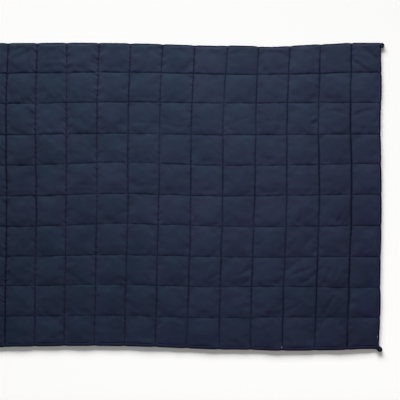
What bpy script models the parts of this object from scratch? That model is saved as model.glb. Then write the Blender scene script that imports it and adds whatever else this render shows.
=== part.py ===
"""A quilted weighted blanket that lies open and flat.

It is one filled body sewn into pockets, four binding strips folded over its raw edge and a
small rolled loop at each corner. Units are metres, +Z is up and the blanket lies on z = 0.
X runs along its length and Y across it: the far edge is at +Y, the near edge at -Y.
"""

import math
from collections import namedtuple

import bmesh
import bpy
from mathutils import Vector

MM = 0.001
GAP = 0.3 * MM  # air between two pieces that touch

# Sewn lines across the length, from the left edge to the right edge, in millimetres: where each
# line crosses the middle of the blanket, and how far it strays from there towards the edges.
ColumnLine = namedtuple("ColumnLine", "middle far upper lower near")
COLUMN_LINES = [
    ColumnLine(-918, 0, -1, -1, -2),
    ColumnLine(-796, 2, -1, -3, -4),
    ColumnLine(-673, 4, -2, -4, -6),
    ColumnLine(-550, 7, -3, -4, -6),
    ColumnLine(-434, 4, -3, -4, -6),
    ColumnLine(-316, 2, 0, -5, -9),
    ColumnLine(-196, 8, 0, -6, -11),
    ColumnLine(-74, 11, 0, -8, -15),
    ColumnLine(47, 15, 3, -8, -15),
    ColumnLine(172, 15, 3, -7, -17),
    ColumnLine(297, 19, 3, -8, -14),
    ColumnLine(423, 14, 4, -11, -17),
    ColumnLine(549, 13, 1, -11, -18),
    ColumnLine(676, 5, -2, -9, -20),
    ColumnLine(803, -1, -4, -10, -19),
    ColumnLine(921, -2, -4, -5, -10),
]

# Sewn lines along the length, from the far edge to the near edge, in millimetres: the line's
# height on the blanket left of its centre, and how far it strays at four places along it.
RowLine = namedtuple("RowLine", "base left centre bow right")
ROW_LINES = [
    RowLine(604, 0, -10, -15, 1),
    RowLine(488, -4, -6, -9, -1),
    RowLine(371, -6, -4, -4, -2),
    RowLine(247, -5, -5, -5, -2),
    RowLine(134, -11, -11, -11, -6),
    RowLine(11, -9, -8, -7, -3),
    RowLine(-106, -12, -9, -12, -8),
    RowLine(-229, -6, -7, -9, -7),
    RowLine(-345, -5, -9, -8, -12),
    RowLine(-466, -4, -10, -8, -8),
    RowLine(-584, -2, -12, -18, -15),
]
ROW_PLACES = (-915 * MM, -497 * MM, -130 * MM, 237 * MM, 491 * MM, 795 * MM)  # base is at the third

COLUMNS = len(COLUMN_LINES) - 1
ROWS = len(ROW_LINES) - 1
HALF_WIDTH = ROW_LINES[0].base * MM
DRAW_IN = 2 * MM  # the edge is pulled in this far where a sewn line meets it

# Quilted body
SEAM_TOP = 3.7 * MM  # cloth pressed flat by the stitches
SEAM_BOTTOM = 1.9 * MM
CROWN = 8.8 * MM  # top of a filled pocket
CROWN_SPREAD = 0.9 * MM  # from pocket to pocket, as the fill settles
PILLOW_POWER = 2.6  # how square-shouldered a pocket is
TOP_STEPS = (0, 0.13, 0.5, 0.87)  # points along a pocket's upper cloth
UNDER_STEPS = (0, 0.13, 0.87)  # and along the cloth that it lies on

# Binding, a strip folded over the edge: u runs inwards from its outer face
BAND = 10 * MM
BAND_HEIGHT = 5.5 * MM
BAND_LIP_TOP = 5 * MM
BAND_ROUND = 1.5 * MM  # rounded fold
BAND_SLOT = 1.7 * MM  # u where the slot for the quilt's margin starts
BAND_END_WALL = 1.2 * MM
BAND_CORNER = 3 * MM  # cut off each outer corner of the blanket
MARGIN_EDGE = 2.5 * MM  # u where the quilt's margin ends
MARGIN_CORNER = 0.5 * MM

# Corner loops, rolled from cloth
LOOP_WIDTH = 4.5 * MM
LOOP_HEIGHT = 4 * MM
LOOP_EYE = 3.8 * MM  # inner radius of the bend
LOOP_REACH_CORNER = 3.4 * MM  # from the edge to the start of the bend
LOOP_REACH_SIDE = 2.4 * MM
LOOP_SIDE_DROP = 11.5 * MM  # the loop that has swung round sits this far below its corner
LOOP_SIDE_HEADING = -10  # degrees from +X
LOOP_SIDES = 8
LOOP_BEND_STEPS = 8

CLOTH = {"color": (0.022, 0.031, 0.058, 1), "roughness": 0.85}
BINDING_CLOTH = {"color": (0.020, 0.029, 0.055, 1), "roughness": 0.85}
LOOP_CLOTH = {"color": (0.018, 0.026, 0.050, 1), "roughness": 0.8}


def curve_through(places, values, at):
    """A smooth curve through the values at rising places, held level past both ends."""
    at = min(max(at, places[0]), places[-1])
    last = len(places) - 1
    k = next(n for n in range(last) if at <= places[n + 1])

    def slope(n):
        before, after = max(n - 1, 0), min(n + 1, last)
        return (values[after] - values[before]) / (places[after] - places[before])

    span = places[k + 1] - places[k]
    f = (at - places[k]) / span
    start = values[k] + f * span * slope(k)
    end = values[k + 1] - (1 - f) * span * slope(k + 1)
    return start * (1 - f) ** 2 * (1 + 2 * f) + end * f**2 * (3 - 2 * f)


def column_line_x(column, y):
    """X of a sewn line across the blanket, at height y on it."""
    line = COLUMN_LINES[column]
    strays = (line.near, line.lower, 0, line.upper, line.far)
    return MM * (line.middle + curve_through((-1, -0.5, 0, 0.5, 1), strays, y / HALF_WIDTH))


def row_line_y(row, x):
    """Y of a sewn line along the blanket, at x."""
    line = ROW_LINES[row]
    strays = (0, line.left, 0, line.centre, line.bow, line.right)
    return MM * (line.base + curve_through(ROW_PLACES, strays, x))


def pillow(f):
    """How full a pocket is at f of the way across it: 0 at its seams and 1 in its middle."""
    return 1 - abs(2 * f - 1) ** PILLOW_POWER


def seam_pull(place, count):
    """1 where an inner sewn line meets the edge, fading to 0 a little way along the pocket."""
    if round(place) in (0, count):
        return 0
    return max(0, 1 - abs(place - round(place)) / UNDER_STEPS[1])


def pocket_of(place, count):
    """The pocket that a place falls in, and how far across it."""
    pocket = min(int(place), count - 1)
    return pocket, place - pocket


def sheet_point(s, t, out_x=0, out_y=0):
    """The plan point s columns from the left and t rows from the far edge, inside the binding.

    out_x and out_y move a point on the rim outwards by that distance.
    """
    row, g = pocket_of(t, ROWS)
    column, f = pocket_of(s, COLUMNS)
    level = MM * ((1 - g) * ROW_LINES[row].base + g * ROW_LINES[row + 1].base)
    left = column_line_x(column, level) + (BAND if column == 0 else 0)
    right = column_line_x(column + 1, level) - (BAND if column == COLUMNS - 1 else 0)
    if column == 0:
        left += DRAW_IN * seam_pull(t, ROWS)
    if column == COLUMNS - 1:
        right -= DRAW_IN * seam_pull(t, ROWS)
    x = (1 - f) * left + f * right
    far = row_line_y(row, x) - (BAND if row == 0 else 0)
    near = row_line_y(row + 1, x) + (BAND if row == ROWS - 1 else 0)
    if row == 0:
        far -= DRAW_IN * seam_pull(s, COLUMNS)
    if row == ROWS - 1:
        near += DRAW_IN * seam_pull(s, COLUMNS)
    y = (1 - g) * far + g * near
    return Vector((x + out_x, y + out_y, 0))


def crown_height(column, row):
    """Top of one pocket: the fill lies a little unevenly from pocket to pocket."""
    uneven = math.sin(2.1 * column + 1.3 * row) * math.cos(1.7 * row - 0.6 * column)
    return CROWN + CROWN_SPREAD * uneven


def top_height(s, t):
    column, f = pocket_of(s, COLUMNS)
    row, g = pocket_of(t, ROWS)
    return SEAM_TOP + (crown_height(column, row) - SEAM_TOP) * pillow(f) * pillow(g)


def under_height(s, t):
    """The underside rests flat and is lifted only along its sewn lines."""
    return SEAM_BOTTOM if s % 1 == 0 or t % 1 == 0 else 0


def stations(count, steps):
    """Places along a row or column of pockets, with the margin's outer edge before and after."""
    margin = BAND - MARGIN_EDGE
    inner = [(pocket + step, 0) for pocket in range(count) for step in steps] + [(count, 0)]
    return [(0, -margin)] + inner + [(count, margin)]


def cloth_material(name, look):
    material = bpy.data.materials.new(name)
    material.use_nodes = True
    shader = material.node_tree.nodes["Principled BSDF"]
    shader.inputs["Base Color"].default_value = look["color"]
    shader.inputs["Roughness"].default_value = look["roughness"]
    shader.inputs["Metallic"].default_value = 0
    material.diffuse_color = look["color"]
    return material


def make_object(name, mesh_edit, material):
    """Turn a bmesh into a named object with its faces pointing out."""
    bmesh.ops.recalc_face_normals(mesh_edit, faces=mesh_edit.faces[:])
    mesh = bpy.data.meshes.new(name)
    mesh_edit.to_mesh(mesh)
    mesh_edit.free()
    mesh.materials.append(material)
    mesh.shade_smooth()
    mesh.set_sharp_from_angle(angle=math.radians(40))
    piece = bpy.data.objects.new(name, mesh)
    bpy.context.collection.objects.link(piece)
    return piece


def quilt_layer(mesh_edit, steps, height):
    """One cloth of the quilt: a grid of points over every pocket and out to its flat margin."""
    across, down = stations(COLUMNS, steps), stations(ROWS, steps)
    layer = {}
    for here in across:
        for there in down:
            (s, out_x), (t, out_y) = here, there
            point = sheet_point(s, t, out_x, -out_y)
            if out_x and out_y:
                point.x -= math.copysign(MARGIN_CORNER, out_x)
                point.y += math.copysign(MARGIN_CORNER, out_y)
            point.z = height(s, t)
            layer[here, there] = mesh_edit.verts.new(point)
    for a, b in zip(across, across[1:]):
        for c, d in zip(down, down[1:]):
            mesh_edit.faces.new([layer[a, c], layer[b, c], layer[b, d], layer[a, d]])
    return across, down, layer


def side_wall(mesh_edit, upper, lower):
    """Close the rim between two rows of (place, point): the upper row may have more points."""
    for (start, a), (end, b) in zip(lower, lower[1:]):
        above = [point for place, point in upper if start <= place <= end]
        mesh_edit.faces.new([a, b, *reversed(above)])


def quilted_body(material):
    """The two cloths with the fill between them, sewn into pockets."""
    mesh_edit = bmesh.new()
    layers = (
        quilt_layer(mesh_edit, TOP_STEPS, top_height),
        quilt_layer(mesh_edit, UNDER_STEPS, under_height),
    )
    for end in (0, -1):
        rims = [[(place, layer[place, down[end]]) for place in across] for across, down, layer in layers]
        side_wall(mesh_edit, *rims)
        rims = [[(place, layer[across[end], place]) for place in down] for across, down, layer in layers]
        side_wall(mesh_edit, *rims)
    return make_object("quilted_body", mesh_edit, material)


def strip_section(outer, inward, slotted):
    """Points round the folded strip where its outer face is at outer and it reaches inwards."""
    outline = [
        (BAND, BAND_LIP_TOP),
        (BAND_ROUND, BAND_HEIGHT),
        (0, BAND_HEIGHT - BAND_ROUND),
        (0, BAND_ROUND),
        (BAND_ROUND, 0),
        (BAND, 0),
    ]
    slot = [
        (BAND, SEAM_BOTTOM - GAP),
        (BAND_SLOT, SEAM_BOTTOM - GAP),
        (BAND_SLOT, SEAM_TOP + GAP),
        (BAND, SEAM_TOP + GAP),
    ]
    return [outer + inward * u + Vector((0, 0, z)) for u, z in outline + (slot if slotted else [])]


def binding_strip(name, places, material):
    """A strip folded over the edge: places are its outer point, inward direction and slot."""
    mesh_edit = bmesh.new()
    rings = []
    for outer, inward, slotted in places:
        points = strip_section(outer, inward, slotted)
        rings.append([mesh_edit.verts.new(p) for p in points])
    for a, b in zip(rings, rings[1:]):
        if len(a) == len(b):
            pairs = zip(range(len(a)), [*range(1, len(a)), 0])
            for p, q in pairs:
                mesh_edit.faces.new([a[p], a[q], b[q], b[p]])
            continue
        closed, slotted = (a, b) if len(a) < len(b) else (b, a)
        for p in range(5):
            mesh_edit.faces.new([closed[p], closed[p + 1], slotted[p + 1], slotted[p]])
        mesh_edit.faces.new([closed[5], closed[0], slotted[0], slotted[9], slotted[6], slotted[5]])
        mesh_edit.faces.new(slotted[6:])
    mesh_edit.faces.new(rings[0])
    mesh_edit.faces.new(rings[-1])
    return make_object(name, mesh_edit, material)


def long_strip(name, t, material):
    """Binding along the far edge (t = 0) or the near edge (t = ROWS), with closed ends."""
    outward = 1 if t == 0 else -1
    inward = Vector((0, -outward, 0))
    places = []
    for s, _ in stations(COLUMNS, UNDER_STEPS)[1:-1]:
        places.append((sheet_point(s, t, 0, outward * BAND), inward, True))
    left_end = strip_end(places[0][0], -1, inward)
    right_end = strip_end(places[-1][0], 1, inward)
    return binding_strip(name, left_end[::-1] + places + right_end, material)


def strip_end(last, side, inward):
    """Places from the last one out to a closed end, over the short strip, its corner cut off."""
    places = []
    for depth, slotted in ((BAND_CORNER, True), (BAND_END_WALL, True), (0, False)):
        cut = BAND_CORNER - depth
        outer = last + Vector((side * (BAND - depth), 0, 0)) + inward * cut
        places.append((outer, inward * (1 - cut / BAND), slotted))
    return places


def short_strip(name, s, material):
    """Binding along the left edge (s = 0) or the right edge, between the long strips."""
    outward = -1 if s == 0 else 1
    inward = Vector((-outward, 0, 0))
    places = []
    for t, _ in stations(ROWS, UNDER_STEPS)[1:-1]:
        places.append((sheet_point(s, t, outward * BAND, 0), inward, True))
    places[0][0].y -= GAP
    places[-1][0].y += GAP
    return binding_strip(name, places, material)


def loop_path(heading, reach):
    """Centre line of a U: points and sideways directions, from one leg round to the other."""
    ahead = Vector((math.cos(heading), math.sin(heading), 0))
    aside = Vector((-ahead.y, ahead.x, 0))
    radius = LOOP_EYE + LOOP_WIDTH / 2
    path = [(aside * radius, aside)]
    for step in range(LOOP_BEND_STEPS + 1):
        turn = math.pi * step / LOOP_BEND_STEPS
        away = aside * math.cos(turn) + ahead * math.sin(turn)
        path.append((ahead * reach + away * radius, away))
    path.append((-aside * radius, -aside))
    return ahead, path


def corner_loop(name, root, heading, reach, walls, material):
    """A rolled loop lying flat. Each leg ends at the wall beside it: an outward axis, a place."""
    ahead, path = loop_path(heading, reach)
    stretch = 1 / math.cos(math.pi / LOOP_SIDES)
    rings = []
    for centre, away in path:
        ring = []
        for side in range(LOOP_SIDES):
            angle = math.tau * (side + 0.5) / LOOP_SIDES
            across = away * (LOOP_WIDTH / 2 * stretch * math.cos(angle))
            height = LOOP_HEIGHT / 2 * (1 + stretch * math.sin(angle))
            ring.append(root + centre + across + Vector((0, 0, height)))
        rings.append(ring)
    for end in (0, -1):
        outward, wall = max(walls, key=lambda w: w[0].dot(path[end][1]))
        for point in rings[end]:
            point += ahead * ((wall + GAP - point.dot(outward)) / ahead.dot(outward))
    mesh_edit = bmesh.new()
    rings = [[mesh_edit.verts.new(point) for point in ring] for ring in rings]
    for a, b in zip(rings, rings[1:]):
        for p in range(LOOP_SIDES):
            q = (p + 1) % LOOP_SIDES
            mesh_edit.faces.new([a[p], a[q], b[q], b[p]])
    mesh_edit.faces.new(rings[0])
    mesh_edit.faces.new(rings[-1])
    return make_object(name, mesh_edit, material)


def corner_loops(material):
    """Three loops point out from their corners, and the far right one has swung to the side."""
    right, left = Vector((1, 0, 0)), Vector((-1, 0, 0))
    far, near = Vector((0, 1, 0)), Vector((0, -1, 0))

    def corner_at(s, t, side, end):
        return sheet_point(s, t) + (side + end) * BAND

    corners = {
        "loop_far_left": (0, 0, left, far),
        "loop_near_left": (0, ROWS, left, near),
        "loop_near_right": (COLUMNS, ROWS, right, near),
    }
    for name, (s, t, side, end) in corners.items():
        corner = corner_at(s, t, side, end)
        heading = math.atan2(end.y, side.x)
        walls = [(side, corner.dot(side)), (end, corner.dot(end))]
        corner_loop(name, corner, heading, LOOP_REACH_CORNER, walls, material)
    corner = corner_at(COLUMNS, 0, right, far)
    root = corner + near * LOOP_SIDE_DROP
    heading = math.radians(LOOP_SIDE_HEADING)
    corner_loop("loop_far_right", root, heading, LOOP_REACH_SIDE, [(right, corner.x)], material)


def centre_on_origin():
    """Put the middle of the whole blanket's plan over the origin, with its underside at z = 0."""
    bpy.context.view_layer.update()
    pieces = [piece for piece in bpy.data.objects if piece.type == "MESH"]
    points = [piece.matrix_world @ v.co for piece in pieces for v in piece.data.vertices]
    low = Vector([min(p[axis] for p in points) for axis in range(3)])
    high = Vector([max(p[axis] for p in points) for axis in range(3)])
    middle = (low + high) / 2
    for piece in pieces:
        piece.location = (-middle.x, -middle.y, 0)


def main():
    for old in list(bpy.data.objects):
        bpy.data.objects.remove(old, do_unlink=True)
    cloth = cloth_material("quilt_cloth", CLOTH)
    binding = cloth_material("binding_cloth", BINDING_CLOTH)
    loops = cloth_material("loop_cloth", LOOP_CLOTH)
    quilted_body(cloth)
    long_strip("binding_far", 0, binding)
    long_strip("binding_near", ROWS, binding)
    short_strip("binding_left", 0, binding)
    short_strip("binding_right", COLUMNS, binding)
    corner_loops(loops)
    centre_on_origin()


main()
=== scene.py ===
import math
import time

import bmesh
import bpy
import numpy as np
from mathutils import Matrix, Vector, noise


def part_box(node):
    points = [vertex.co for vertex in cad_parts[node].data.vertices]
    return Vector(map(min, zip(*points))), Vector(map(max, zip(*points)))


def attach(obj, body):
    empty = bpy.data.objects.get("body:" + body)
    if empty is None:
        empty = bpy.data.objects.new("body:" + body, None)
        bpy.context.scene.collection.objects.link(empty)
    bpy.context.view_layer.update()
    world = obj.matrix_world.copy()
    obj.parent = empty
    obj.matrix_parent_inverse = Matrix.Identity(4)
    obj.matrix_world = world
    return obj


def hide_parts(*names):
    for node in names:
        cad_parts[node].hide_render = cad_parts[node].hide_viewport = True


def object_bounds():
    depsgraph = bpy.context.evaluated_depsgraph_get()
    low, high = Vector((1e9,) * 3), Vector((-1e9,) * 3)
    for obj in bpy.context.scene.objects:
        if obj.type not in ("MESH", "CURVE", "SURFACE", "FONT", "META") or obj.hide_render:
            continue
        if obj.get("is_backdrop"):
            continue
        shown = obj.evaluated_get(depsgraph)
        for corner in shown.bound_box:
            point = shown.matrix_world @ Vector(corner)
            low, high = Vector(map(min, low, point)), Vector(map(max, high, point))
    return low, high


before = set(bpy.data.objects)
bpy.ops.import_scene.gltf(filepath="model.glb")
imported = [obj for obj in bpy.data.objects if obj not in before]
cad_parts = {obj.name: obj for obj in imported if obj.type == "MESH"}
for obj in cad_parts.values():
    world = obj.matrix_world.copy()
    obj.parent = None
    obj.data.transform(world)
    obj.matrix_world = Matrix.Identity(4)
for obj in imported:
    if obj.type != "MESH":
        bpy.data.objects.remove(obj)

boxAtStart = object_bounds()
startTime = time.time()
mm = 0.001


def report(text):
    print(f"[{time.time() - startTime:5.1f} s] {text}", flush=True)


# Sewn lines of the blanket in mm, from its left edge to its right edge and from far to near.
layout = {
    "columnLines": (  # x at the middle, then how far it strays at the far, upper, lower, near places
        (-918, 0, -1, -1, -2),
        (-796, 2, -1, -3, -4),
        (-673, 4, -2, -4, -6),
        (-550, 7, -3, -4, -6),
        (-434, 4, -3, -4, -6),
        (-316, 2, 0, -5, -9),
        (-196, 8, 0, -6, -11),
        (-74, 11, 0, -8, -15),
        (47, 15, 3, -8, -15),
        (172, 15, 3, -7, -17),
        (297, 19, 3, -8, -14),
        (423, 14, 4, -11, -17),
        (549, 13, 1, -11, -18),
        (676, 5, -2, -9, -20),
        (803, -1, -4, -10, -19),
        (921, -2, -4, -5, -10),
    ),
    "rowLines": (  # y left of the centre, then how far it strays at the left, centre, bow, right
        (604, 0, -10, -15, 1),
        (488, -4, -6, -9, -1),
        (371, -6, -4, -4, -2),
        (247, -5, -5, -5, -2),
        (134, -11, -11, -11, -6),
        (11, -9, -8, -7, -3),
        (-106, -12, -9, -12, -8),
        (-229, -6, -7, -9, -7),
        (-345, -5, -9, -8, -12),
        (-466, -4, -10, -8, -8),
        (-584, -2, -12, -18, -15),
    ),
    "rowPlaces": (-915, -497, -130, 237, 491, 795),
    "halfWidth": 604,
    "farSwells": ((373, 78, 5), (622, 85, 3)),  # where an edge strays: place, half width, height
    "nearSwells": ((-575, 35, -3), (390, 80, 2.5), (860, 55, 3.5)),
    "rightSwells": ((-425, 75, 2.7), (434, 85, 4)),
    "drawIn": 2,  # the edge is pulled in this far where a sewn line meets it
    "drawInSpan": 0.13,  # of a pocket
    "band": 10,  # width of the folded binding
}
columns = len(layout["columnLines"]) - 1
rows = len(layout["rowLines"]) - 1
band = layout["band"] * mm


def curveThrough(places, values, at):
    places, values = np.array(places, float), np.array(values, float)
    at = np.clip(at, places[0], places[-1])
    order = np.arange(len(places))
    k = np.clip(np.searchsorted(places, at) - 1, 0, order[-2])
    before, after = np.maximum(order - 1, 0), np.minimum(order + 1, order[-1])
    slope = (values[after] - values[before]) / (places[after] - places[before])
    span = places[k + 1] - places[k]
    f = (at - places[k]) / span
    start = values[k] + f * span * slope[k]
    end = values[k + 1] - (1 - f) * span * slope[k + 1]
    return start * (1 - f) ** 2 * (1 + 2 * f) + end * f**2 * (3 - 2 * f)


def swellAt(swells, at):
    return sum(height * np.exp(-(((at / mm - place) / half) ** 4)) for place, half, height in swells)


def columnLineX(column, y):
    middle, far, upper, lower, near = layout["columnLines"][column]
    strays = curveThrough((-1, -0.5, 0, 0.5, 1), (near, lower, 0, upper, far), y / (layout["halfWidth"] * mm))
    swells = layout["rightSwells"] if column == columns else ()
    return (middle + strays + swellAt(swells, y)) * mm


def rowLineY(row, x):
    base, left, centre, bow, right = layout["rowLines"][row]
    places = np.array(layout["rowPlaces"]) * mm
    strays = curveThrough(places, (0, left, 0, centre, bow, right), x)
    swells = {0: layout["farSwells"], rows: layout["nearSwells"]}.get(row, ())
    return (base + strays + swellAt(swells, x)) * mm


def fromLine(place):
    return np.abs(place - np.round(place))


def seamPull(place, count):
    nearest = np.round(place)
    pull = np.maximum(0, 1 - fromLine(place) / layout["drawInSpan"])
    return np.where((nearest == 0) | (nearest == count), 0, pull)


def pocketOf(place, count):
    pocket = np.minimum(place.astype(int), count - 1)
    return pocket, place - pocket


def sheetPlan(s, t):
    row, g = pocketOf(t, rows)
    column, f = pocketOf(s, columns)
    bases = np.array([line[0] for line in layout["rowLines"]]) * mm
    level = (1 - g) * bases[row] + g * bases[row + 1]
    pulls = (seamPull(t, rows), seamPull(s, columns))
    fromSide, fromEnd = (band + layout["drawIn"] * mm * pull for pull in pulls)
    lineX = np.array([columnLineX(c, level) for c in range(columns + 1)])
    lineX[0] += fromSide
    lineX[-1] -= fromSide
    x = ((1 - f)[:, None] * lineX[column] + f[:, None] * lineX[column + 1]).T
    lineY = np.array([rowLineY(r, x) for r in range(rows + 1)])
    lineY[0] -= fromEnd
    lineY[-1] += fromEnd
    across, down = np.arange(len(s)), np.arange(len(t))[:, None]
    row, g = row[:, None], g[:, None]
    return x, (1 - g) * lineY[row, down, across] + g * lineY[row + 1, down, across]


gatherSettings = {
    "height": 3.2,  # mm, small folds that run into the sewn lines across the blanket
    "reach": 11,
    "foot": 3,  # mm from the line where they start
    "scale": (62, 14),
    "slant": 0.8,
    "patches": (7, 1.6),  # how often they are stronger in places, and by how much
    "strength": (1.7, 0.6),  # at the left and at the right
    "farther": (0.6, 1.35),  # near and far
}

quiltSettings = {
    "seamTop": 3.7,  # mm, upper cloth under the stitches
    "seamBottom": 1.9,
    "grooveDepth": 1.2,  # the thread pulls the seam this much lower
    "columnSeam": 2.7,  # mm, how wide the pulled-in line is
    "rowSeam": 2.2,
    "steepest": 0.15,  # the slope at which the painted light and shade tint is as cool or as warm as it gets
    "rowShade": 0.6,  # painted shade of the seams along the blanket, this strong beside that of the seams across it
    "columnStrength": (  # by sewn line, for the depth of its groove and of its painted shade
        0.3, 0.9, 1, 1.02, 0.88, 0.76, 0.8, 0.86, 0.76, 0.82, 0.85, 0.86, 0.92, 0.96, 1.25, 0.1,
    ),
    "rowStrength": (0.05, 1.35, 0.97, 0.97, 0.75, 0.92, 0.85, 0.7, 0.7, 0.55, 0.4),
    "strengthSpread": 0.3,
    "rimRise": {"left": 1.5, "right": 2.6, "far": 3.2, "near": 1.8},  # mm that the cloth stands up there
    "tilt": 0.12,
    "creaseDepth": 1.7,
    "crown": 8.8,  # mm, top of a filled pocket
    "crownSpread": 0.9,
    "pillowPower": 2.4,
    "simCells": 24,  # per pocket
    "simFrames": 20,
    "slack": 0.026,  # spare cloth between the seams
    "pressure": 1.0,
    "wrinkle": 0.8,  # how much of the simulated unevenness is kept beside the seams
    "wrinkleInside": 0.28,  # and in the middle of a pocket
    "wrinkleReach": 24,  # mm from the seam
    "cap": 9.0,  # mm a point may move
    "steps": (0, 0.012, 0.03, 0.058, 0.097, 0.143, 0.193, 0.244, 0.295, 0.346, 0.397, 0.448),
    "underSteps": (0, 0.025, 0.1),
    "margin": 7.5,  # flat edge of the quilt inside the binding
    "wander": 1.1,  # mm that the sewing strays from a smooth line
    "wanderScale": 14,
    "wanderFade": 20,  # mm from the rim
    "seamGap": (0.122, 0.118),  # metres between two sewn lines, for what lies beside them
    "rimGap": (0.112, 0.106),  # and for the rise at the rims
    "roughGap": 0.12,
    "rimReach": (1.0, 28),  # mm over which a rim rises and falls
    "underReach": 5,
    "deepest": 1.4,  # limits to a seam's depth and painted shade
    "darkest": 1.18,
    "seed": 11,
}


def halfSteps(steps):
    steps = list(steps)
    return steps + [0.5] + [1 - step for step in steps[:0:-1]]


def stations(count, steps):
    return np.array([pocket + step for pocket in range(count) for step in halfSteps(steps)] + [count], float)


def evenStations(count, per):
    return np.arange(count * per + 1) / per


def gridFaces(down, across, first, upward):
    corner = first + (np.arange(down - 1)[:, None] * across + np.arange(across - 1)).ravel()
    ring = [corner, corner + across, corner + across + 1, corner + 1]
    return np.stack(ring if upward else ring[::-1], -1).tolist()


def addObject(name, data):
    item = bpy.data.objects.new(name, data)
    bpy.context.scene.collection.objects.link(item)
    return item


def evaluatedMesh(item):
    return bpy.data.meshes.new_from_object(item.evaluated_get(bpy.context.evaluated_depsgraph_get()))


def simulatePockets(q):
    cells = q["simCells"]
    x, y = sheetPlan(evenStations(columns, cells), evenStations(rows, cells))
    draws = np.random.default_rng(q["seed"])
    flat = np.stack([x, y, np.zeros_like(x)], -1)
    sewn = np.zeros(x.shape, bool)
    sewn[::cells] = True
    sewn[:, ::cells] = True
    flat[..., 2] = np.where(sewn, 0, draws.uniform(0, 0.6 * mm, x.shape))
    mesh = bpy.data.meshes.new("pocketCloth")
    mesh.from_pydata(flat.reshape(-1, 3), [], gridFaces(*x.shape, 0, True))
    cloth = addObject("pocketCloth", mesh)
    pins = cloth.vertex_groups.new(name="sewn")
    pins.add(np.flatnonzero(sewn).tolist(), 1, "REPLACE")
    modifier = cloth.modifiers.new("pockets", "CLOTH")
    settings = modifier.settings
    settings.quality = 5
    settings.mass = 0.3
    settings.tension_stiffness = settings.compression_stiffness = 15
    settings.shear_stiffness = 5
    settings.bending_stiffness = 0.5
    settings.tension_damping = settings.compression_damping = settings.shear_damping = 5
    settings.bending_damping = 0.5
    settings.vertex_group_mass = "sewn"
    settings.pin_stiffness = 1
    settings.use_pressure = True
    settings.uniform_pressure_force = q["pressure"]
    settings.shrink_min = -q["slack"]
    settings.effector_weights.gravity = 0
    modifier.collision_settings.use_collision = False
    modifier.collision_settings.use_self_collision = False
    modifier.point_cache.frame_start = 1
    modifier.point_cache.frame_end = q["simFrames"]
    for step in range(1, q["simFrames"] + 1):
        bpy.context.scene.frame_set(step)
    swollen = evaluatedMesh(cloth)
    co = np.empty(len(swollen.vertices) * 3)
    swollen.vertices.foreach_get("co", co)
    bpy.data.objects.remove(cloth)
    bpy.data.meshes.remove(mesh)
    bpy.data.meshes.remove(swollen)
    bpy.context.scene.frame_set(1)
    move = co.reshape(flat.shape) - flat
    move[sewn] = 0
    return move


def blendGrid(grid, s, t, cells):
    i, f = pocketOf(s * cells, grid.shape[1] - 1)
    j, g = pocketOf(t * cells, grid.shape[0] - 1)
    f, g, j = f[:, None], g[:, None, None], j[:, None]
    return (
        grid[j, i] * (1 - f) * (1 - g)
        + grid[j, i + 1] * f * (1 - g)
        + grid[j + 1, i] * (1 - f) * g
        + grid[j + 1, i + 1] * f * g
    )


q = quiltSettings
s = stations(columns, q["steps"])
t = stations(rows, q["steps"])
planX, planY = sheetPlan(s, t)
move = simulatePockets(q)
report(f"pockets simulated, {move[..., 2].min() / mm:.1f} to {move[..., 2].max() / mm:.1f} mm")
length = np.linalg.norm(move, axis=-1, keepdims=True)
move *= np.minimum(1, q["cap"] * mm / np.maximum(length, 1e-9))


# Sets or links sockets. A node given as a value stands for its first output.
def connect(tree, node, inputs):
    for socket, value in dict(inputs).items():
        if isinstance(value, bpy.types.Node):
            value = value.outputs[0]
        if isinstance(value, bpy.types.NodeSocket):
            tree.links.new(value, node.inputs[socket])
        else:
            node.inputs[socket].default_value = value


def addNode(tree, kind, inputs=(), **settings):
    node = tree.nodes.new(kind)
    for name, value in settings.items():
        setattr(node, name, value)
    connect(tree, node, inputs)
    return node


def calc(tree, operation, a, b=0.0, c=0.0):
    return addNode(tree, "ShaderNodeMath", {0: a, 1: b, 2: c}, operation=operation).outputs[0]


def times(tree, a, b):
    return calc(tree, "MULTIPLY", a, b)


def timesPlus(tree, a, b, c):
    return calc(tree, "MULTIPLY_ADD", a, b, c)


def vectorCalc(tree, operation, a, b):
    sockets = {0: a, "Scale" if operation == "SCALE" else 1: b}
    return addNode(tree, "ShaderNodeVectorMath", sockets, operation=operation).outputs[0]


def joinVector(tree, x=0.0, y=0.0, z=0.0):
    return addNode(tree, "ShaderNodeCombineXYZ", {0: x, 1: y, 2: z}).outputs[0]


def splitVector(tree, value):
    return addNode(tree, "ShaderNodeSeparateXYZ", {0: value}).outputs


def remap(tree, value, fromLow, fromHigh, toLow, toHigh):
    sockets = {0: value, 1: fromLow, 2: fromHigh, 3: toLow, 4: toHigh}
    return addNode(tree, "ShaderNodeMapRange", sockets).outputs[0]


def noiseAt(tree, place, scale, detail, roughness=0.5):
    sockets = {"Vector": place, "Scale": scale, "Detail": detail, "Roughness": roughness}
    return addNode(tree, "ShaderNodeTexNoise", sockets).outputs[0]


def streaks(tree, place, stretch):
    return noiseAt(tree, addNode(tree, "ShaderNodeMapping", {"Vector": place, "Scale": stretch}), 1, 2)


def bump(tree, strength, distance, height, more=()):
    sockets = {"Strength": strength, "Distance": distance, "Height": height, **dict(more)}
    return addNode(tree, "ShaderNodeBump", sockets)


def newGroup(name, kind, inputs, outputs):
    tree = bpy.data.node_groups.new(name, kind)
    for label, (socketType, *value) in inputs.items():
        socket = tree.interface.new_socket(label, in_out="INPUT", socket_type="NodeSocket" + socketType)
        if value:
            socket.default_value = value[0]
    for label, socketType in outputs.items():
        tree.interface.new_socket(label, in_out="OUTPUT", socket_type="NodeSocket" + socketType)
    return tree, tree.nodes.new("NodeGroupInput").outputs, tree.nodes.new("NodeGroupOutput")


weaveSettings = {
    "wobble": (420, 0.00025),  # how often, and how far in metres, a thread strays
    "round": 0.8,
    "slubs": ((30, 900, 1), (900, 30, 1)),
}


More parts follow.
